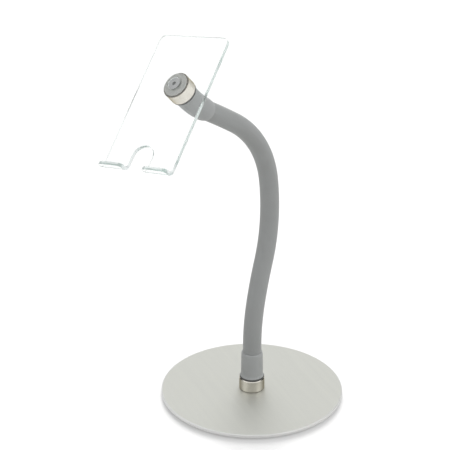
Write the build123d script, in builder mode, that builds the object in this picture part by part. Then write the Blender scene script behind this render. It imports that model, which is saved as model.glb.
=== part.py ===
from build123d import *
from math import radians, tan
import os

# Gooseneck holder: a folded clear cradle on a bendable neck that stands on a round base.
# Millimetres. The origin is the centre of the underside, +Z is up and the cradle faces -Y.

# Base
base_diameter = 160.0
base_thickness = 3.0
base_edge_round = 0.8
base_under_chamfer = 0.4
pad_diameter = 152.0
pad_thickness = 1.5

# Countersunk screws, one at each end of the neck
screw_diameter = 5.0
screw_head_diameter = 10.0
screw_rim = 0.3
countersink_angle = 90.0
screw_tip_gap = 0.4
screw_clearance = 0.2
drive_across_flats = 3.0
drive_depth = 1.6

# Collars and the threaded ferrules that screw into them
collar_diameter = 22.2
collar_height = 11.0
collar_chamfer = 0.8
collar_foot_round = 0.4
stud_diameter = 10.0
stud_length = 5.4
stud_clearance = 0.1
stud_chamfer = 0.8
ferrule_length = 8.0
ferrule_floor = 3.0

# Neck: steel core, soft sheath over it and a moulded cuff over each end
core_diameter = 13.4
core_bore = 8.0
sheath_diameter = 16.2
layer_clearance = 0.1
cuff_mouth_diameter = 18.7
cuff_waist_diameter = 19.3
cuff_foot_diameter = 20.8
cuff_foot_gap = 1.4
cuff_foot_rim = 0.6
cuff_flare_length = 2.4
cuff_reach = 29.1
cuff_lip_length = 4.4
cuff_lip_wall = 0.15
cuff_shoulder_radius = 5.0

# Links of the core: a ball on the lower end of each turns in a cup in the one below
ball_shoulder = 0.25
cup_clearance = 0.3
link_gap = 2.2

# Course of the neck: a straight rise, then equal lengths that each bend by an angle (forward positive)
neck_rise = 32.3
bend_length = 38.0
neck_bend_angles = (-11.0, -6.0, 13.5, 11.5, 26.5, 23.5, 3.0)
end_bend_angle = -17.0

# Cradle
sheet_thickness = 3.0
sheet_edge_round = 0.4
cradle_width = 67.5
cradle_below_screw = 75.0
cradle_above_screw = 43.0
cradle_corner_radius = 6.0
cradle_roll = 11.2
fold_radius = 3.0
ledge_depth = 7.0
ledge_corner_radius = 3.6
ledge_end_land = 0.3
notch_width = 19.0
notch_rise = 20.0
washer_diameter = 20.0
washer_thickness = 1.0

os.makedirs("parts", exist_ok=True)

core_radius = core_diameter / 2
sheath_radius = sheath_diameter / 2
socket_radius = core_radius + layer_clearance
ball_radius = core_radius - ball_shoulder
shank_radius = screw_diameter / 2
head_radius = screw_head_diameter / 2
screw_hole_radius = shank_radius + screw_clearance
base_top = pad_thickness + base_thickness
cone_slope = tan(radians(countersink_angle / 2))
sink_radius = head_radius + screw_clearance + screw_rim * cone_slope
screw_grip = collar_height - stud_length - screw_tip_gap
ferrule_mouth = collar_height + ferrule_length
cuff_bore_radius = sheath_radius + layer_clearance
cuff_lip_fall = cuff_mouth_diameter / 2 - cuff_bore_radius - cuff_lip_wall
cuff_bend_length = cuff_reach - ferrule_length


def bend_arc(before, length, bend):
    """Carry a line on by an arc of the given length that turns by bend degrees."""
    return JernArc(before @ 1, before % 1, length / radians(abs(bend)), bend)


def profile_plane(seat):
    """Plane through the axis of a seat: local x is the radius and local y the height above it."""
    return Plane(origin=seat.origin, x_dir=seat.x_dir, z_dir=-seat.y_dir)


def path_start(line):
    """Plane square to a line at its start."""
    return Plane(origin=line @ 0, x_dir=(1, 0, 0), z_dir=line % 0)


# Seats of the two collars: height 0 is the face that the screw pulls against, height runs into the neck
lower_seat = Plane(origin=(0, 0, base_top), x_dir=(1, 0, 0), z_dir=(0, 0, 1))

with BuildLine(Plane.YZ) as centre_line:
    socket_run = Line(
        (0, base_top + collar_height + ferrule_floor),
        (0, base_top + ferrule_mouth),
    )
    cuff_run = Line(socket_run @ 1, (0, base_top + collar_height + cuff_reach))
    rise_run = Line(cuff_run @ 1, (0, base_top + collar_height + neck_rise))
    half_bends = [bend_arc(rise_run, bend_length / 2, neck_bend_angles[0] / 2)]
    half_bends.append(bend_arc(half_bends[-1], bend_length / 2, neck_bend_angles[0] / 2))
    for neck_bend in neck_bend_angles[1:]:
        half_bends.append(bend_arc(half_bends[-1], bend_length / 2, neck_bend / 2))
        half_bends.append(bend_arc(half_bends[-1], bend_length / 2, neck_bend / 2))
    end_arc = bend_arc(half_bends[-1], cuff_bend_length, end_bend_angle)
    end_run = Line(end_arc @ 1, end_arc @ 1 + (end_arc % 1) * (ferrule_length - ferrule_floor))

facing = end_arc % 1
upper_seat = Plane(origin=end_arc @ 1 + facing * ferrule_mouth, x_dir=(1, 0, 0), z_dir=-facing)

# The hinge points are the middles of the bends; a stretch of neck runs from one to the next
hinges = [path_start(half_bend) for half_bend in half_bends[1::2]]
stretches = [[cuff_run, rise_run, half_bends[0]]]
for number in range(1, len(neck_bend_angles)):
    stretches.append(half_bends[2 * number - 1 : 2 * number + 1])
stretches.append([half_bends[-1], end_arc])

# Base plate: the screw comes up through its middle
with BuildPart() as base_plate:
    with BuildSketch(Plane.XY.offset(pad_thickness)):
        Circle(base_diameter / 2)
    extrude(amount=base_thickness)
    fillet(base_plate.edges().group_by(Axis.Z)[-1], base_edge_round)
    chamfer(base_plate.edges().group_by(Axis.Z)[0], base_under_chamfer)
    with Locations(-lower_seat.offset(-base_thickness)):
        CounterSinkHole(screw_hole_radius, sink_radius, counter_sink_angle=countersink_angle)
base_plate.part.label = "base_plate"
export_step(base_plate.part, "parts/base_plate.step")

# Pad: one grippy disc stuck under the plate
with BuildPart() as base_pad:
    with BuildSketch(Plane.XY):
        Circle(pad_diameter / 2)
    extrude(amount=pad_thickness)
base_pad.part.label = "base_pad"
export_step(base_pad.part, "parts/base_pad.step")

# Fastenings, the same at both ends: what lies between the screw's head and the collar differs
clamped = {"lower": base_thickness, "upper": sheet_thickness + washer_thickness}
for end, seat in {"lower": lower_seat, "upper": upper_seat}.items():
    # Collar: bored for the ferrule's stud from one side and for the screw from the other
    along = Axis(seat.origin, seat.z_dir)
    with BuildPart() as collar:
        with BuildSketch(seat):
            Circle(collar_diameter / 2)
        extrude(amount=collar_height)
        chamfer(collar.edges().group_by(along)[-1], collar_chamfer)
        fillet(collar.edges().group_by(along)[0], collar_foot_round)
        with BuildSketch(seat.offset(collar_height)):
            Circle(stud_diameter / 2)
        extrude(amount=-stud_length - stud_clearance, mode=Mode.SUBTRACT)
        with Locations(seat):
            Hole(shank_radius + stud_clearance)
    collar.part.label = f"{end}_collar"
    export_step(collar.part, f"parts/{end}_collar.step")

    # Ferrule: a stud below, and above it a socket for the end of the core
    with BuildPart() as ferrule:
        with BuildSketch(seat.offset(collar_height)):
            Circle(stud_diameter / 2 - stud_clearance)
        extrude(amount=-stud_length)
        chamfer(ferrule.edges().group_by(along)[0], stud_chamfer)
        with BuildSketch(seat.offset(collar_height)):
            Circle(sheath_radius)
        extrude(amount=ferrule_length)
        with BuildSketch(seat.offset(ferrule_mouth)):
            Circle(socket_radius)
        extrude(amount=ferrule_floor - ferrule_length, mode=Mode.SUBTRACT)
    ferrule.part.label = f"{end}_ferrule"
    export_step(ferrule.part, f"parts/{end}_ferrule.step")

    # Screw: flat head flush with the outer face, hexagon socket in the head
    outer_face = seat.offset(-clamped[end])
    with BuildPart() as screw:
        with BuildSketch(profile_plane(outer_face)):
            with BuildLine():
                Polyline(
                    (0, 0),
                    (head_radius, 0),
                    (head_radius, screw_rim),
                    (shank_radius, screw_rim + (head_radius - shank_radius) / cone_slope),
                    (shank_radius, clamped[end] + screw_grip),
                    (0, clamped[end] + screw_grip),
                    close=True,
                )
            make_face()
        revolve(axis=along)
        with BuildSketch(outer_face):
            RegularPolygon(drive_across_flats / 2, 6, major_radius=False)
        extrude(amount=drive_depth, mode=Mode.SUBTRACT)
    screw.part.label = f"{end}_screw"
    export_step(screw.part, f"parts/{end}_screw.step")

# Cuffs: a foot that flares over the collar, and a sleeve along the neck that thins to a lip at its mouth
foot_bottom = collar_height + cuff_foot_gap
flare_bottom = foot_bottom + cuff_foot_rim
flare_top = flare_bottom + cuff_flare_length
foot_radius = cuff_foot_diameter / 2
waist_radius = cuff_waist_diameter / 2
mouth_radius = cuff_mouth_diameter / 2
sleeves = {
    "lower": (lower_seat, cuff_run, waist_radius, mouth_radius, cuff_run @ 1),
    "upper": (upper_seat, end_arc, mouth_radius, waist_radius, end_arc @ 0),
}
for end, (seat, course, start_radius, end_radius, mouth_centre) in sleeves.items():
    with BuildPart() as cuff:
        with BuildSketch(profile_plane(seat)):
            with BuildLine():
                Polyline(
                    (waist_radius, flare_top),
                    (waist_radius, ferrule_mouth),
                    (cuff_bore_radius, ferrule_mouth),
                    (cuff_bore_radius, foot_bottom),
                    (foot_radius, foot_bottom),
                    (foot_radius, flare_bottom),
                )
                TangentArc((waist_radius, flare_top), (foot_radius, flare_bottom), tangent=(0, -1))
            make_face()
        revolve(axis=Axis(seat.origin, seat.z_dir))
        with BuildSketch(path_start(course)):
            Circle(start_radius)
        with BuildSketch(Plane(origin=course @ 1, x_dir=(1, 0, 0), z_dir=course % 1)):
            Circle(end_radius)
        sweep(path=course, multisection=True)
        with BuildSketch(path_start(course)):
            Circle(cuff_bore_radius)
        sweep(path=course, mode=Mode.SUBTRACT)
        mouth_face = cuff.faces().filter_by(GeomType.PLANE).sort_by_distance(mouth_centre)[0]
        chamfer(mouth_face.outer_wire().edges(), cuff_lip_fall, cuff_lip_length, reference=mouth_face)
        fillet(cuff.edges(Select.LAST).sort_by(SortBy.LENGTH)[-1], cuff_shoulder_radius)
    cuff.part.label = f"{end}_cuff"
    export_step(cuff.part, f"parts/{end}_cuff.step")

# Stretches of the neck, from the base up: a link of the core and the length of sheath over it
for number, stretch in enumerate(stretches):
    first = number == 0
    last = number == len(hinges)
    with BuildPart() as core:
        with BuildLine() as core_run:
            if first:
                add(socket_run)
            add(stretch)
            if last:
                add(end_run)
        with BuildSketch(path_start(core_run.wire())):
            Circle(core_radius)
            Circle(core_bore / 2, mode=Mode.SUBTRACT)
        sweep(path=core_run.wire())
        if not first:
            with Locations(hinges[number - 1]):
                Sphere(ball_radius, arc_size2=0)
                Cylinder(core_bore / 2, ball_radius, align=(Align.CENTER, Align.CENTER, Align.MAX),
                         mode=Mode.SUBTRACT)
        if not last:
            with Locations(hinges[number]):
                Sphere(ball_radius + cup_clearance, mode=Mode.SUBTRACT)
                Cylinder(sheath_radius, link_gap, align=(Align.CENTER, Align.CENTER, Align.MAX),
                         mode=Mode.SUBTRACT)
    core.part.label = f"core_{number}"
    export_step(core.part, f"parts/core_{number}.step")

    with BuildPart() as sheath:
        with BuildLine() as sheath_run:
            add(stretch)
        with BuildSketch(path_start(sheath_run.wire())):
            Circle(sheath_radius)
            Circle(socket_radius, mode=Mode.SUBTRACT)
        sweep(path=sheath_run.wire())
    sheath.part.label = f"sheath_{number}"
    export_step(sheath.part, f"parts/sheath_{number}.step")

# Washer that the cradle turns on
with BuildPart() as swivel_washer:
    with BuildSketch(upper_seat):
        Circle(washer_diameter / 2)
        Circle(screw_hole_radius, mode=Mode.SUBTRACT)
    extrude(amount=-washer_thickness)
swivel_washer.part.label = "swivel_washer"
export_step(swivel_washer.part, "parts/swivel_washer.step")

# Cradle: one sheet folded forward into a ledge at the bottom; a notch parts the ledge in two
sheet_back = Plane(
    origin=upper_seat.origin + facing * washer_thickness,
    x_dir=Vector(1, 0, 0).rotate(Axis((0, 0, 0), facing), cradle_roll),
    z_dir=facing,
)
side_view = Plane(origin=sheet_back.origin, x_dir=facing, z_dir=-sheet_back.x_dir)
ledge_bottom = -cradle_below_screw - sheet_thickness
ledge_front = sheet_thickness + ledge_depth
sheet_up = Axis(sheet_back.origin, sheet_back.y_dir)
sheet_forward = Axis(sheet_back.origin, facing)
with BuildPart() as cradle:
    with BuildSketch(side_view) as fold:
        with BuildLine():
            Polyline(
                (0, cradle_above_screw),
                (0, ledge_bottom),
                (ledge_front, ledge_bottom),
                (ledge_front, -cradle_below_screw),
                (sheet_thickness, -cradle_below_screw),
                (sheet_thickness, cradle_above_screw),
                close=True,
            )
        make_face()
        outer_corner = fold.vertices().sort_by_distance((0, ledge_bottom))[0]
        fillet(outer_corner, fold_radius + sheet_thickness)
        inner_corner = fold.vertices().sort_by_distance((sheet_thickness, -cradle_below_screw))[0]
        fillet(inner_corner, fold_radius)
    extrude(amount=cradle_width / 2, both=True)
    with BuildSketch(sheet_back):
        with Locations((0, ledge_bottom)):
            SlotOverall(2 * (sheet_thickness + notch_rise), notch_width, rotation=90)
    extrude(amount=ledge_front, mode=Mode.SUBTRACT)
    across = cradle.edges().filter_by(GeomType.LINE).filter_by(sheet_forward)
    fillet(across.group_by(sheet_up)[-1], cradle_corner_radius)
    upright = cradle.edges().filter_by(GeomType.LINE).filter_by(sheet_up)
    ledge_flat = ledge_depth - fold_radius
    fillet(upright.group_by(sheet_forward)[-1], min(ledge_corner_radius, ledge_flat - ledge_end_land))
    top_edges = cradle.edges().filter_by(GeomType.LINE).group_by(sheet_up)[-1]
    fillet(top_edges, sheet_edge_round)
    with Locations(sheet_back.offset(sheet_thickness)):
        CounterSinkHole(screw_hole_radius, sink_radius, counter_sink_angle=countersink_angle)
cradle.part.label = "cradle"
export_step(cradle.part, "parts/cradle.step")
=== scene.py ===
import math

import bpy
import numpy as np
from mathutils import Matrix, Vector


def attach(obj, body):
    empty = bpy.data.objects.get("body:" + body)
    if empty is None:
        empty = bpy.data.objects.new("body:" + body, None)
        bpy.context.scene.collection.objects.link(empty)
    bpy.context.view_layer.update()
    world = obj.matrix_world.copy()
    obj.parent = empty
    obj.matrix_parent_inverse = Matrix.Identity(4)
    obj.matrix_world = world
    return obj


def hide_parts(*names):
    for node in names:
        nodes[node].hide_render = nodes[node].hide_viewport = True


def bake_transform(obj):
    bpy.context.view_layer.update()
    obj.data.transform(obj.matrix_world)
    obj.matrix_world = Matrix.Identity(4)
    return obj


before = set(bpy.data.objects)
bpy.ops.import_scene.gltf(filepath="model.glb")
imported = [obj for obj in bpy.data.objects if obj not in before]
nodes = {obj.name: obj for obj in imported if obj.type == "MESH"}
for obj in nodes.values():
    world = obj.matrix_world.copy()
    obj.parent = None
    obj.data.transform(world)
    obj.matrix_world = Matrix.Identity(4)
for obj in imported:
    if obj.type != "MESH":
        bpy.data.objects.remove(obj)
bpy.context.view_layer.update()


# small helpers for node trees

def feedSockets(tree, node, feeds):
    # an output of another node is linked, and anything else is set as a plain value
    for key, value in feeds.items():
        if isinstance(value, bpy.types.NodeSocket):
            tree.links.new(value, node.inputs[key])
        else:
            node.inputs[key].default_value = value


def addNode(tree, kind, feeds=None, **traits):
    # traits are the node's own settings; feeds are values or links for its sockets
    node = tree.nodes.new("ShaderNode" + kind)
    for key, value in traits.items():
        setattr(node, key, value)
    feedSockets(tree, node, feeds or {})
    return node


def reckon(tree, operation, *values):
    # one Math node, with the values in its sockets from the first on
    return addNode(tree, "Math", dict(enumerate(values)), operation=operation).outputs[0]


def mixValues(tree, factor, first, second):
    # first where factor is 0, second where it is 1
    return addNode(tree, "Mix", {0: factor, 2: first, 3: second}, data_type="FLOAT").outputs[0]


def mixColours(tree, factor, first, second):
    return addNode(tree, "Mix", {0: factor, 6: first, 7: second}, data_type="RGBA").outputs[2]


def spread(tree, value, low, high, start=0.0, stop=1.0):
    # a value from start to stop is carried over to low to high
    return addNode(tree, "MapRange", {0: value, 1: start, 2: stop, 3: low, 4: high}).outputs[0]


def awayFromAxis(tree, parts):
    # the distance from local Z: the length of the X and Y parts alone
    flat = addNode(tree, "CombineXYZ", {0: parts[0], 1: parts[1]}).outputs[0]
    return addNode(tree, "VectorMath", {0: flat}, operation="LENGTH").outputs["Value"]


def addNoise(tree, point, rate, look):
    feeds = {"Vector": point, "Scale": rate, "Detail": look["detail"], "Roughness": look["roughness"],
             "Distortion": look["distortion"]}
    return addNode(tree, "TexNoise", feeds).outputs[0]


def addBump(tree, shader, height, strength, depth):
    bump = addNode(tree, "Bump", {"Strength": strength, "Distance": depth, "Height": height})
    tree.links.new(bump.outputs["Normal"], shader["Normal"])


def localPoint(tree, place=(0, 0, 0), turn=(0, 0, 0)):
    # Object coordinates seen from a place on the part, with that place's own axes
    point = addNode(tree, "TexCoord").outputs["Object"]
    return addNode(tree, "Mapping", {"Vector": point, "Location": place, "Rotation": turn},
                   vector_type="TEXTURE").outputs[0]


def newGroup(name, takes, gives):
    # takes and gives are dictionaries of socket name and kind
    tree = bpy.data.node_groups.new(name, "ShaderNodeTree")
    for label, kind in takes.items():
        tree.interface.new_socket(label, in_out="INPUT", socket_type="NodeSocket" + kind)
    for label, kind in gives.items():
        tree.interface.new_socket(label, in_out="OUTPUT", socket_type="NodeSocket" + kind)
    return tree, tree.nodes.new("NodeGroupInput").outputs, tree.nodes.new("NodeGroupOutput").inputs


def useGroup(tree, group, **feeds):
    node = tree.nodes.new("ShaderNodeGroup")
    node.node_tree = group
    feedSockets(tree, node, feeds)
    return node.outputs


def newMaterial(name, **plain):
    # a Principled shader with its plain values set on its own sockets
    material = bpy.data.materials.new(name)
    material.use_nodes = True
    shader = material.node_tree.nodes["Principled BSDF"]
    for key, value in plain.items():
        shader.inputs[key.replace("_", " ")].default_value = value
    return material, material.node_tree, shader.inputs


# shared effects; a noise's usual range is spread over the whole way from 0 to 1

strokeNoise = dict(detail=4.0, roughness=0.65, distortion=0.0, usual=(0.3, 0.7))


def makeBrushLines():
    # noise stretched along local Y: fine strokes, one beside the other along X
    inlets = {"Vector": "Vector", "Across": "Float", "Along": "Float"}
    tree, takes, gives = newGroup("brushLines", inlets, {"Lines": "Float"})
    rates = addNode(tree, "CombineXYZ", {0: takes["Across"], 1: takes["Along"], 2: takes["Across"]})
    stretched = addNode(tree, "VectorMath", {0: takes["Vector"], 1: rates.outputs[0]}, operation="MULTIPLY")
    noise = addNoise(tree, stretched.outputs[0], 1.0, strokeNoise)
    tree.links.new(spread(tree, noise, 0.0, 1.0, *strokeNoise["usual"]), gives["Lines"])
    return tree


ringNoise = dict(detail=3.0, roughness=0.6, distortion=0.0, usual=(0.3, 0.7))


def makeTurnedLines():
    # noise of the distance from local Z and of the height along it: rings as a lathe leaves them
    inlets = {"Vector": "Vector", "Density": "Float"}
    tree, takes, gives = newGroup("turnedLines", inlets, {"Lines": "Float"})
    parts = addNode(tree, "SeparateXYZ", {0: takes["Vector"]}).outputs
    rings = addNode(tree, "CombineXYZ", {0: awayFromAxis(tree, parts), 1: parts[2]}).outputs[0]
    scaled = addNode(tree, "VectorMath", {0: rings, "Scale": takes["Density"]}, operation="SCALE").outputs[0]
    noise = addNoise(tree, scaled, 1.0, ringNoise)
    tree.links.new(spread(tree, noise, 0.0, 1.0, *ringNoise["usual"]), gives["Lines"])
    return tree


cloudNoise = dict(detail=3.0, roughness=0.55, distortion=0.4, usual=(0.28, 0.72))


def makeSoftCloud():
    # slow noise for handling marks and uneven tone; Size is the width of a patch in metres
    tree, takes, gives = newGroup("softCloud", {"Vector": "Vector", "Size": "Float"}, {"Cloud": "Float"})
    noise = addNoise(tree, takes["Vector"], reckon(tree, "DIVIDE", 1.0, takes["Size"]), cloudNoise)
    tree.links.new(spread(tree, noise, 0.0, 1.0, *cloudNoise["usual"]), gives["Cloud"])
    return tree


grainNoise = dict(detail=2.0, roughness=0.5, distortion=0.0, lift=0.5)


def makeFineGrain():
    # noise times the distance from small cells' middles: the skin of moulded rubber and plastic;
    # Size is a grain's width in metres
    tree, takes, gives = newGroup("fineGrain", {"Vector": "Vector", "Size": "Float"}, {"Grain": "Float"})
    rate = reckon(tree, "DIVIDE", 1.0, takes["Size"])
    noise = addNoise(tree, takes["Vector"], rate, grainNoise)
    cells = addNode(tree, "TexVoronoi", {"Vector": takes["Vector"], "Scale": rate}).outputs["Distance"]
    tree.links.new(reckon(tree, "MULTIPLY_ADD", noise, cells, grainNoise["lift"]), gives["Grain"])
    return tree


def makeWoundWire():
    # half rounds side by side along Direction, one for each Pitch: the sine's size, whatever its sign
    inlets = {"Vector": "Vector", "Direction": "Vector", "Pitch": "Float"}
    tree, takes, gives = newGroup("woundWire", inlets, {"Ridge": "Float"})
    along = addNode(tree, "VectorMath", {0: takes["Vector"], 1: takes["Direction"]}, operation="DOT_PRODUCT")
    turns = reckon(tree, "DIVIDE", along.outputs["Value"], takes["Pitch"])
    wave = reckon(tree, "SINE", reckon(tree, "MULTIPLY", turns, math.pi))
    tree.links.new(reckon(tree, "ABSOLUTE", wave), gives["Ridge"])
    return tree


brushLines, turnedLines, softCloud, fineGrain, woundWire = (
    makeBrushLines(), makeTurnedLines(), makeSoftCloud(), makeFineGrain(), makeWoundWire())
print("shared effects made:", len(bpy.data.node_groups))


# camera, floor and light

cameraView = dict(aim=(-0.01679, -0.01689, 0.16169), azimuth=45.17, elevation=23.93, distance=1.2,
                  lens=113.79, nearest=0.05, farthest=100.0)
studio = dict(floorSize=30.0, floorColour=(0.40, 0.398, 0.395, 1), floorGlow=(1, 1, 1, 1), glow=0.30,
              skyColour=(0.98, 0.99, 1.0, 1), sky=0.69, backdrop=1.0, bounces=48,
              ringLow=(0.08, 0.2), ringHigh=(0.45, 0.75))
lamps = dict(keyLamp=dict(origin=(0.55, 0.45, 1.2), angle=80.0, power=1.0),
             backLamp=dict(origin=(-0.66, 0.66, 0.28), angle=24.0, power=2.3),
             floorLamp=dict(origin=(-0.66, 0.66, 0.52), angle=34.0, power=5.6))
# how bright the studio is low down in a mirror, from behind the part (-1) to the camera (1)
studioRing = ((-1.0, 1.1), (-0.87, 1.0), (-0.6, 0.04), (-0.22, 0.12),
              (0.2, 1.7), (0.5, 1.6), (0.85, 0.35), (1.0, 0.25))


def aimAt(item, target):
    item.rotation_euler = (Vector(target) - item.location).to_track_quat("-Z", "Y").to_euler()


def makeCamera():
    turn, rise = math.radians(cameraView["azimuth"]), math.radians(cameraView["elevation"])
    back = np.array((math.sin(turn) * math.cos(rise), -math.cos(turn) * math.cos(rise), math.sin(rise)))
    camera = bpy.data.objects.new("camera", bpy.data.cameras.new("camera"))
    camera.data.lens = cameraView["lens"]
    camera.data.clip_start, camera.data.clip_end = cameraView["nearest"], cameraView["farthest"]
    camera.location = np.array(cameraView["aim"]) + cameraView["distance"] * back
    aimAt(camera, cameraView["aim"])
    bpy.context.scene.collection.objects.link(camera)
    bpy.context.scene.camera = camera


def seenDirectly(tree):
    # 1 for rays from the camera, from mirrors and through clear material
    path = addNode(tree, "LightPath").outputs
    first = reckon(tree, "MAXIMUM", path["Is Camera Ray"], path["Is Glossy Ray"])
    return reckon(tree, "MAXIMUM", first, path["Is Transmission Ray"])


def makeFloor():
    half = studio["floorSize"] / 2
    corners = [(-half, -half, 0), (half, -half, 0), (half, half, 0), (-half, half, 0)]
    mesh = bpy.data.meshes.new("floor")
    mesh.from_pydata(corners, [], [(0, 1, 2, 3)])
    floor = bpy.data.objects.new("floor", mesh)
    bpy.context.scene.collection.objects.link(floor)
    material, tree, shader = newMaterial("paleFloor", Base_Color=studio["floorColour"], Roughness=1.0,
                                         Specular_IOR_Level=0.0, Emission_Color=studio["floorGlow"])
    lift = reckon(tree, "MULTIPLY", seenDirectly(tree), studio["glow"])
    tree.links.new(lift, shader["Emission Strength"])
    mesh.materials.append(material)
    return floor


def makeLamp(name):
    # a wide soft source that mirrors don't see; they see the world instead
    lamp = bpy.data.lights.new(name, "SUN")
    lamp.angle, lamp.energy = math.radians(lamps[name]["angle"]), lamps[name]["power"]
    holder = bpy.data.objects.new(name, lamp)
    holder.location = lamps[name]["origin"]
    holder.visible_glossy = holder.visible_transmission = False
    aimAt(holder, (0, 0, 0))
    bpy.context.scene.collection.objects.link(holder)
    return holder


def lightOnly(lamp, item):
    # the lamp falls on this item alone; everything else still shades it
    lit = bpy.data.collections.new(lamp.name + "Lights")
    lit.objects.link(item)
    lamp.light_linking.receiver_collection = lit


def makeStudioRing(tree, ray):
    # soft boxes and dark gaps, by the cosine between the ray's level part and the way to the camera
    turn = math.radians(cameraView["azimuth"])
    toCamera = (math.sin(turn), -math.cos(turn), 0)
    flat = addNode(tree, "CombineXYZ", {0: ray[0], 1: ray[1]}).outputs[0]
    level = addNode(tree, "VectorMath", {0: flat}, operation="NORMALIZE").outputs[0]
    facing = addNode(tree, "VectorMath", {0: level, 1: toCamera}, operation="DOT_PRODUCT").outputs["Value"]
    ring = addNode(tree, "ValToRGB", {0: spread(tree, facing, 0.0, 1.0, -1.0, 1.0)})
    stops = ring.color_ramp.elements
    while len(stops) < len(studioRing):
        stops.new(0.5)
    for stop, (place, shade) in zip(stops, studioRing):
        stop.position, stop.color = (place + 1) / 2, (shade, shade, shade, 1)
    return ring.outputs[0]


def makeWorld():
    # mirrors see the ring low down, and an even white above it and at the horizon
    world = bpy.data.worlds.new("studio")
    world.use_nodes = True
    bpy.context.scene.world = world
    tree = world.node_tree
    ray = addNode(tree, "SeparateXYZ", {0: addNode(tree, "TexCoord").outputs["Generated"]}).outputs
    aboveLow = spread(tree, ray[2], 0.0, 1.0, *studio["ringLow"])
    belowHigh = spread(tree, ray[2], 1.0, 0.0, *studio["ringHigh"])
    band = reckon(tree, "MULTIPLY", aboveLow, belowHigh)
    mirrored = mixValues(tree, band, studio["backdrop"], makeStudioRing(tree, ray))
    glossy = addNode(tree, "LightPath").outputs["Is Glossy Ray"]
    shown = mixValues(tree, glossy, studio["backdrop"], mirrored)
    strength = mixValues(tree, seenDirectly(tree), studio["sky"], shown)
    background = tree.nodes["Background"].inputs
    tree.links.new(strength, background["Strength"])
    background["Color"].default_value = studio["skyColour"]


makeCamera()
floor = makeFloor()
makeWorld()
makeLamp("keyLamp")
makeLamp("backLamp")
lightOnly(makeLamp("floorLamp"), floor)
tracer = bpy.context.scene.cycles  # light runs a long way inside the clear sheet
tracer.max_bounces = tracer.transmission_bounces = tracer.glossy_bounces = studio["bounces"]
bpy.context.scene.view_settings.view_transform = "Standard"
print("camera, floor and light set")


# the neck's course: a straight rise, seven bends of one length, and a short bend back under the upper cuff

course = dict(sheathFoot=0.0235, riseEnd=0.0478, bendLength=0.038, endLength=0.0211,
              bends=(-11, -6, 13.5, 11.5, 26.5, 23.5, 3), endBend=-17, tableStep=0.0001)
tube = dict(around=96, sharpAngle=50.0)


def makeCourse():
    # the heading grows evenly within each bend; the place is the running sum of its sine and cosine
    rise = course["riseEnd"] - course["sheathFoot"]
    lengths = [rise] + [course["bendLength"]] * len(course["bends"]) + [course["endLength"]]
    turns = np.radians([0, *course["bends"], course["endBend"]])
    marks = np.concatenate([[0], np.cumsum(lengths)])
    headings = np.concatenate([[0], np.cumsum(turns)])
    way = np.linspace(0, marks[-1], int(marks[-1] / course["tableStep"]) + 1)
    heading = np.interp(way, marks, headings)
    middle = (heading[1:] + heading[:-1]) / 2
    steps = np.diff(way)
    depth = np.concatenate([[0], np.cumsum(-np.sin(middle) * steps)])
    height = course["sheathFoot"] + np.concatenate([[0], np.cumsum(np.cos(middle) * steps)])
    return marks, way, heading, depth, height


courseMarks, courseWay, courseHeading, courseDepth, courseHeight = makeCourse()


def courseAt(way):
    # depth, height and heading at each length along the course, which runs straight on past both its ends
    kept = np.clip(way, courseMarks[0], courseMarks[-1])
    depth, height, heading = [np.interp(kept, courseWay, column)
                              for column in (courseDepth, courseHeight, courseHeading)]
    return depth - (way - kept) * np.sin(heading), height + (way - kept) * np.cos(heading), heading


def coursePoint(way):
    depth, height = courseAt(way)[:2]
    return (0.0, float(depth), float(height))


def thereAndBack(way):
    # up a wall's outside and down its bore again
    return np.concatenate([way, way[::-1]])


def makeTube(name, way, reach):
    # a closed profile carried along the course and round it: centre + reach * (cos * side + sin * square),
    # where square is the course's heading turned a quarter
    around = tube["around"]
    depth, height, heading = courseAt(way)
    angle = np.linspace(0, 2 * np.pi, around, endpoint=False)
    side = reach[:, None] * np.cos(angle)
    square = reach[:, None] * np.sin(angle)
    points = np.stack([side, depth[:, None] + square * np.cos(heading)[:, None],
                       height[:, None] + square * np.sin(heading)[:, None]], -1).reshape(-1, 3)
    rows, columns = np.meshgrid(np.arange(len(way)), np.arange(around), indexing="ij")
    nextRow, nextColumn = (rows + 1) % len(way), (columns + 1) % around
    faces = np.stack([rows * around + columns, rows * around + nextColumn,
                      nextRow * around + nextColumn, nextRow * around + columns], -1).reshape(-1, 4)
    mesh = bpy.data.meshes.new(name)
    mesh.from_pydata(points.tolist(), [], faces.tolist())
    skin = mesh.uv_layers.new(name="skin")  # U round the piece and V along it, both in metres
    facet = 2 * np.pi * reach.max() / around
    turn = np.stack([columns, columns + 1, columns + 1, columns], -1).reshape(-1) * facet
    run = np.stack([way[rows], way[rows], way[nextRow], way[nextRow]], -1).reshape(-1)
    skin.data.foreach_set("uv", np.stack([turn, run], -1).reshape(-1).astype(np.float32))
    mesh.shade_smooth()
    mesh.set_sharp_from_angle(angle=math.radians(tube["sharpAngle"]))
    piece = bpy.data.objects.new(name, mesh)
    bpy.context.scene.collection.objects.link(piece)
    return piece


def makeRubberFinish(name, look):
    # rubber, and the painted shade rings: slow patches of tone over a close grain, and a faint bloom on the
    # sleeve
    material, tree, shader = newMaterial(name, Specular_IOR_Level=look["gloss"], Sheen_Weight=look["bloom"])
    skin = addNode(tree, "UVMap", uv_map="skin").outputs[0]
    cloud = useGroup(tree, softCloud, Vector=skin, Size=look["patch"])["Cloud"]
    grain = useGroup(tree, fineGrain, Vector=skin, Size=look["grain"])["Grain"]
    tree.links.new(mixColours(tree, cloud, look["dark"], look["light"]), shader["Base Color"])
    tree.links.new(spread(tree, cloud, *look["rough"]), shader["Roughness"])
    addBump(tree, shader, grain, look["bump"], look["bumpDepth"])
    return material


# the sleeve: one closed wall for each length of the course

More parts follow.
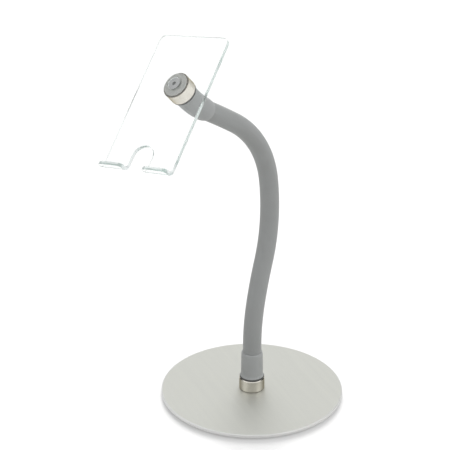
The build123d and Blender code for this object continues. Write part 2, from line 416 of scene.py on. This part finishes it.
sheath = dict(radius=0.0081, bore=0.0068, step=0.001, blendInset=0.002,
              dark=(0.29, 0.297, 0.291, 1), light=(0.325, 0.333, 0.329, 1), patch=0.03, grain=0.00035,
              rough=(0.5, 0.6), gloss=0.4, bloom=0.08, bump=0.12, bumpDepth=0.0001)


def makeSheath():
    # the first length rides on the base and the last on the head; each one between bends over a joint
    finish = makeRubberFinish("satinSleeve", sheath)
    last = len(course["bends"])
    for k, (first, stop) in enumerate(zip(courseMarks[:-1], courseMarks[1:])):
        way = np.linspace(first, stop, max(2, round((stop - first) / sheath["step"])) + 1)
        wall = np.repeat([sheath["radius"], sheath["bore"]], len(way))
        piece = makeTube(f"sleeve_{k}", thereAndBack(way), wall)
        piece.data.materials.append(finish)
        if k == 0:
            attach(piece, "base")
            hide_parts("sheath_0")
        elif k > last:
            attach(piece, "head")
            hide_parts(f"sheath_{last}")
        else:
            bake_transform(piece)
            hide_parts(f"sheath_{k - 1}", f"sheath_{k}")


makeSheath()
print("sleeve made in", len(courseMarks) - 1, "lengths")


# cuffs over the sleeve's two ends, and near-black rings of painted shade in the gaps under their feet;
# heights run from the collar's top

cuff = dict(ferrule=0.008, foot=0.0014, rim=0.0006, flare=0.0024, footRadius=0.0104, waistRadius=0.00965,
            mouthRadius=0.0094, bore=0.0082, closedBore=0.00812, closing=0.0015, edge=0.0003, rows=90,
            dark=(0.35, 0.358, 0.354, 1), light=(0.38, 0.39, 0.387, 1), patch=0.018, grain=0.0004,
            rough=(0.46, 0.56), gloss=0.42, bloom=0.0, bump=0.1, bumpDepth=0.0001)
mouths = dict(lower=dict(reach=0.025, lip=0.0026, fall=0.00055),
              upper=dict(reach=0.0315, lip=0.007, fall=0.001))
# a near-black ring under each cuff's foot, filling the gap there: painted shade made as a part
shadeRing = dict(radius=0.0108, edge=0.0004, rows=24,
            dark=(0.05, 0.05, 0.047, 1), light=(0.08, 0.08, 0.076, 1), patch=0.018, grain=0.0003,
            rough=(0.5, 0.7), gloss=0.42, bloom=0.0, bump=0.1, bumpDepth=0.0001)


def denseEnds(low, high, rows):
    # places from low to high that crowd together at both ends, as a half turn's cosine does
    return low + (high - low) * (1 - np.cos(np.linspace(0, np.pi, rows))) / 2


def roundedEnds(span, edge):
    # how far a wall falls back within an edge's radius of its two ends: a quarter circle at each
    near = np.minimum(span - span[0], span[-1] - span)
    return edge - np.sqrt(edge ** 2 - np.maximum(edge - near, 0) ** 2)


def cuffRadius(span, mouth):
    # a foot whose flare dies out as a square, an even taper to the mouth, and a lip that falls as a square
    flare = np.clip(1 - (span - cuff["foot"] - cuff["rim"]) / cuff["flare"], 0, 1) ** 2
    taper = np.clip((span - cuff["ferrule"]) / (span[-1] - cuff["ferrule"]), 0, 1)
    lip = np.clip(1 - (span[-1] - span) / mouth["lip"], 0, 1) ** 2
    return (cuff["waistRadius"] + (cuff["footRadius"] - cuff["waistRadius"]) * flare
            + (cuff["mouthRadius"] - cuff["waistRadius"]) * taper - mouth["fall"] * lip)


def cuffBore(span):
    # clear of the sleeve, and closing on it evenly at the mouth
    closed = np.clip(1 - (span[-1] - span) / cuff["closing"], 0, 1)
    return cuff["bore"] + (cuff["closedBore"] - cuff["bore"]) * closed


def makeEndRing(name, end, span, outer, bore):
    # a wall round one end of the neck; its heights run up the course from below and down it from above
    if end == "lower":
        way = span - cuff["ferrule"]
    else:
        way, outer, bore = courseMarks[-1] + cuff["ferrule"] - span[::-1], outer[::-1], bore[::-1]
    piece = makeTube(name, thereAndBack(way), np.concatenate([outer, bore[::-1]]))
    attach(piece, "base" if end == "lower" else "head")
    return piece


def makeCuffs():
    cuffFinish, shadeRingFinish = makeRubberFinish("mouldedCuff", cuff), makeRubberFinish("paintedShadeRing", shadeRing)
    for end, mouth in mouths.items():
        span = denseEnds(cuff["foot"], mouth["reach"], cuff["rows"])
        outer = cuffRadius(span, mouth) - roundedEnds(span, cuff["edge"])
        sleeve = makeEndRing(f"{end}_sleeve_cuff", end, span, outer, cuffBore(span))
        sleeve.data.materials.append(cuffFinish)
        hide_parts(f"{end}_cuff")
        # the near-black ring filling the gap under the foot: painted shade
        span = denseEnds(0.0, cuff["foot"], shadeRing["rows"])
        outer = shadeRing["radius"] - roundedEnds(span, shadeRing["edge"])
        ring = makeEndRing(f"{end}_seal", end, span, outer, np.full(len(span), cuff["bore"]))
        ring.data.materials.append(shadeRingFinish)


makeCuffs()
print("cuffs and shadeRings made")


# where the collars are seated: on the base plate, and at the end of the course under the washer

collar = dict(seatHeight=0.0045, length=0.011)
upperSeat = courseMarks[-1] + cuff["ferrule"] + collar["length"]
upperTilt = float(courseHeading[-1])
ends = dict(lower=dict(place=(0, 0, collar["seatHeight"]), turn=(0, 0, 0)),
            upper=dict(place=coursePoint(upperSeat), turn=(upperTilt, 0, 0)))

washer = dict(radius=0.010, bore=0.0027, thickness=0.001, gap=0.00004, edge=0.00015, rows=24,
              light=(0.80, 0.79, 0.75, 1), dark=(0.70, 0.69, 0.65, 1), patch=0.006, density=4000.0,
              rough=(0.38, 0.5), gloss=0.5, bump=0.06, bumpDepth=0.00005)


def makeWasher():
    # natural nylon: a flat ring with rounded edges on the upper collar, a hair clear of the sheet
    seat = -collar["length"]
    span = denseEnds(seat - washer["thickness"] + washer["gap"], seat, washer["rows"])
    outer = washer["radius"] - roundedEnds(span, washer["edge"])
    piece = makeEndRing("nylon_washer", "upper", span, outer, np.full(len(span), washer["bore"]))
    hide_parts("swivel_washer")
    material, tree, shader = newMaterial("nylonWasher", Specular_IOR_Level=washer["gloss"])
    point = localPoint(tree, **ends["upper"])
    cloud = useGroup(tree, softCloud, Vector=point, Size=washer["patch"])["Cloud"]
    lines = useGroup(tree, turnedLines, Vector=point, Density=washer["density"])["Lines"]
    tree.links.new(mixColours(tree, cloud, washer["dark"], washer["light"]), shader["Base Color"])
    tree.links.new(spread(tree, lines, *washer["rough"]), shader["Roughness"])
    addBump(tree, shader, lines, washer["bump"], washer["bumpDepth"])
    piece.data.materials.append(material)


makeWasher()
print("washer made")


# finishes for the solids

def dress(material, name):
    nodes[name].material_slots[0].material = material


# rim is a painted highlight along the disc's rounded top edge; wall is the side wall painted lighter and
# greyer than the top, a painted lift of its shade
plate = dict(light=(0.74, 0.74, 0.69, 1), dark=(0.665, 0.665, 0.62, 1), strokeTurn=68.5,
             across=5200.0, along=60.0, fineShare=0.4, wideAcross=150.0, wideAlong=9.0, wideShare=0.6,
             rough=(0.51, 0.63), bump=0.08, bumpDepth=0.00005, rim=(0.79, 0.79, 0.77, 1),
             wall=(0.76, 0.76, 0.745, 1), paintedEdgeRadius=(0.0789, 0.0793), paintedHighlightHeight=(0.0036, 0.0041))


def dressPlate():
    # satin metal with straight brush strokes across the whole disc, and painted light round its edge: a
    # painted highlight on the top rounding and a painted lift of the side wall's shade
    material, tree, shader = newMaterial("brushedPlate", Metallic=1.0)
    point = localPoint(tree, turn=(0, 0, math.radians(plate["strokeTurn"])))
    fine = useGroup(tree, brushLines, Vector=point, Across=plate["across"], Along=plate["along"])["Lines"]
    wide = useGroup(tree, brushLines, Vector=point, Across=plate["wideAcross"],
                    Along=plate["wideAlong"])["Lines"]
    tone = reckon(tree, "MULTIPLY_ADD", fine, plate["fineShare"], spread(tree, wide, 0.0, plate["wideShare"]))
    brushed = mixColours(tree, tone, plate["dark"], plate["light"])
    parts = addNode(tree, "SeparateXYZ", {0: point}).outputs
    paintedEdgeMask = spread(tree, awayFromAxis(tree, parts), 0.0, 1.0, *plate["paintedEdgeRadius"])
    above = spread(tree, parts[2], 0.0, 1.0, *plate["paintedHighlightHeight"])
    # painted light: the painted highlight on the top rounding, over the side wall painted lighter against its
    # shade
    edge = mixColours(tree, above, plate["wall"], plate["rim"])
    tree.links.new(mixColours(tree, paintedEdgeMask, brushed, edge), shader["Base Color"])
    tree.links.new(spread(tree, tone, *plate["rough"]), shader["Roughness"])
    addBump(tree, shader, fine, plate["bump"], plate["bumpDepth"])
    dress(material, "base_plate")


pad = dict(dark=(0.012, 0.012, 0.013, 1), light=(0.03, 0.03, 0.031, 1), cell=0.0011, patch=0.02,
           rough=(0.75, 0.95), gloss=0.3, bump=0.5, bumpDepth=0.0003)


def dressPad():
    # black foam rubber with small open cells
    material, tree, shader = newMaterial("foamPad", Specular_IOR_Level=pad["gloss"])
    point = localPoint(tree)
    grain = useGroup(tree, fineGrain, Vector=point, Size=pad["cell"])["Grain"]
    cloud = useGroup(tree, softCloud, Vector=point, Size=pad["patch"])["Cloud"]
    tree.links.new(mixColours(tree, cloud, pad["dark"], pad["light"]), shader["Base Color"])
    tree.links.new(spread(tree, grain, *pad["rough"]), shader["Roughness"])
    addBump(tree, shader, grain, pad["bump"], pad["bumpDepth"])
    dress(material, "base_pad")


# each part's last colour is painted shade where it crosses its collar's seat; the collar's grazing tint is
# darker than its plating, a painted shade on the sides it turns away
turnedParts = dict(
    collar=dict(light=(0.76, 0.73, 0.665, 1), dark=(0.66, 0.63, 0.565, 1), rough=(0.08, 0.18),
                density=9000.0, bump=0.03, grazingTintAndShade=(0.42, 0.38, 0.28, 1), seatShade=(0.22, 0.20, 0.165, 1)),
    # the ferrule's colours are painted far darker than its brass: painted shade for the gap under each cuff's
    # foot
    ferrule=dict(light=(0.30, 0.23, 0.12, 1), dark=(0.18, 0.14, 0.08, 1), rough=(0.3, 0.45),
                 density=6000.0, bump=0.1, grazingTintAndShade=(0.8, 0.75, 0.6, 1), seatShade=(0.12, 0.10, 0.06, 1)),
    screw=dict(light=(0.66, 0.66, 0.65, 1), dark=(0.52, 0.53, 0.53, 1), rough=(0.25, 0.4),
               density=5000.0, bump=0.08, grazingTintAndShade=(0.8, 0.8, 0.8, 1), seatShade=(0.3, 0.3, 0.3, 1)))
turned = dict(patch=0.008, bumpDepth=0.00005, seatShadeReach=(0.0003, 0.0007))


def dressTurned(part, finish, end, seat):
    # plated or bare metal with the rings of the lathe round its own axis; painted shade darkens it close to
    # the collar's seat, and the collar's dark grazing tint paints shade on its sides
    # the grazing tint: on the collar a painted shade towards its sides, on the ferrule and screw a plain edge
    # tint
    material, tree, shader = newMaterial(f"{part}Metal_{end}", Metallic=1.0, Specular_Tint=finish["grazingTintAndShade"])
    point = localPoint(tree, **seat)
    lines = useGroup(tree, turnedLines, Vector=point, Density=finish["density"])["Lines"]
    cloud = useGroup(tree, softCloud, Vector=point, Size=turned["patch"])["Cloud"]
    away = reckon(tree, "ABSOLUTE", addNode(tree, "SeparateXYZ", {0: point}).outputs[2])
    plated = mixColours(tree, cloud, finish["dark"], finish["light"])
    # painted shade: darker close to the seat plane, where the parts meet
    seatShade = spread(tree, away, 1.0, 0.0, *turned["seatShadeReach"])
    tree.links.new(mixColours(tree, seatShade, plated, finish["seatShade"]), shader["Base Color"])
    tone = reckon(tree, "MULTIPLY", lines, cloud)
    tree.links.new(spread(tree, tone, *finish["rough"]), shader["Roughness"])
    addBump(tree, shader, lines, finish["bump"], turned["bumpDepth"])
    dress(material, f"{end}_{part}")


# dark is painted shade in the grooves between the wire's turns, light the crests
core = dict(light=(0.52, 0.52, 0.51, 1), dark=(0.25, 0.24, 0.23, 1), pitch=0.0024, rough=(0.55, 0.32),
            bump=0.8, bumpDepth=0.0006)


def dressCores():
    # close-wound steel wire, each link along its own part of the course, with painted shade in the grooves
    # between its turns
    linkEnds = [courseMarks[0], *((courseMarks[1:-2] + courseMarks[2:-1]) / 2), courseMarks[-1]]
    for k, (first, stop) in enumerate(zip(linkEnds[:-1], linkEnds[1:])):
        heading = float(courseAt((first + stop) / 2)[2])
        direction = (0, -math.sin(heading), math.cos(heading))
        material, tree, shader = newMaterial(f"woundCore_{k}", Metallic=1.0)
        ridge = useGroup(tree, woundWire, Vector=localPoint(tree), Direction=direction,
                         Pitch=core["pitch"])["Ridge"]
        # painted shade: dark in the grooves between turns, lighter on the crests
        tree.links.new(mixColours(tree, ridge, core["dark"], core["light"]), shader["Base Color"])
        tree.links.new(spread(tree, ridge, *core["rough"]), shader["Roughness"])
        addBump(tree, shader, ridge, core["bump"], core["bumpDepth"])
        dress(material, f"core_{k}")


sheet = dict(colour=(0.972, 0.980, 0.978, 1), absorb=(0.72, 0.90, 0.84, 1), density=6.0, ior=1.49, roll=11.2,
             thickness=0.003, foldAxis=(0.006, -0.072), foldMiddle=0.0045, patch=0.02,
             skinRough=(0.0, 0.03), cutRough=0.32, cutShares=(0.40, 0.48))


def cutEdge(tree, point):
    # 1 on the sheet's cut edges: their distance from the sheet's middle surface is less than half its
    # thickness; that surface runs straight up and straight forward from the fold and round its axis between
    parts = addNode(tree, "SeparateXYZ", {0: point}).outputs
    ahead = reckon(tree, "MINIMUM", reckon(tree, "SUBTRACT", parts[2], sheet["foldAxis"][0]), 0.0)
    above = reckon(tree, "MINIMUM", reckon(tree, "SUBTRACT", parts[1], sheet["foldAxis"][1]), 0.0)
    away = awayFromAxis(tree, (ahead, above))
    depth = reckon(tree, "ABSOLUTE", reckon(tree, "SUBTRACT", away, sheet["foldMiddle"]))
    return spread(tree, depth, 1.0, 0.0, *[share * sheet["thickness"] for share in sheet["cutShares"]])


def dressCradle():
    # clear acrylic: a trace of grey-green in its depth, faint handling marks on its skin, and dull cut edges
    material, tree, shader = newMaterial("clearSheet", Base_Color=sheet["colour"], Transmission_Weight=1.0,
                                         IOR=sheet["ior"])
    axes = Matrix.Rotation(upperTilt, 3, "X") @ Matrix.Rotation(math.radians(sheet["roll"]), 3, "Z")
    point = localPoint(tree, coursePoint(upperSeat + washer["thickness"]), axes.to_euler())
    cloud = useGroup(tree, softCloud, Vector=point, Size=sheet["patch"])["Cloud"]
    skin = spread(tree, cloud, *sheet["skinRough"])
    tree.links.new(mixValues(tree, cutEdge(tree, point), skin, sheet["cutRough"]), shader["Roughness"])
    depth = addNode(tree, "VolumeAbsorption", {"Color": sheet["absorb"], "Density": sheet["density"]})
    tree.links.new(depth.outputs[0], tree.nodes["Material Output"].inputs["Volume"])
    dress(material, "cradle")


dressPlate()
dressPad()
for part, finish in turnedParts.items():
    for end, seat in ends.items():
        dressTurned(part, finish, end, seat)
dressCores()
dressCradle()
print("solids dressed")
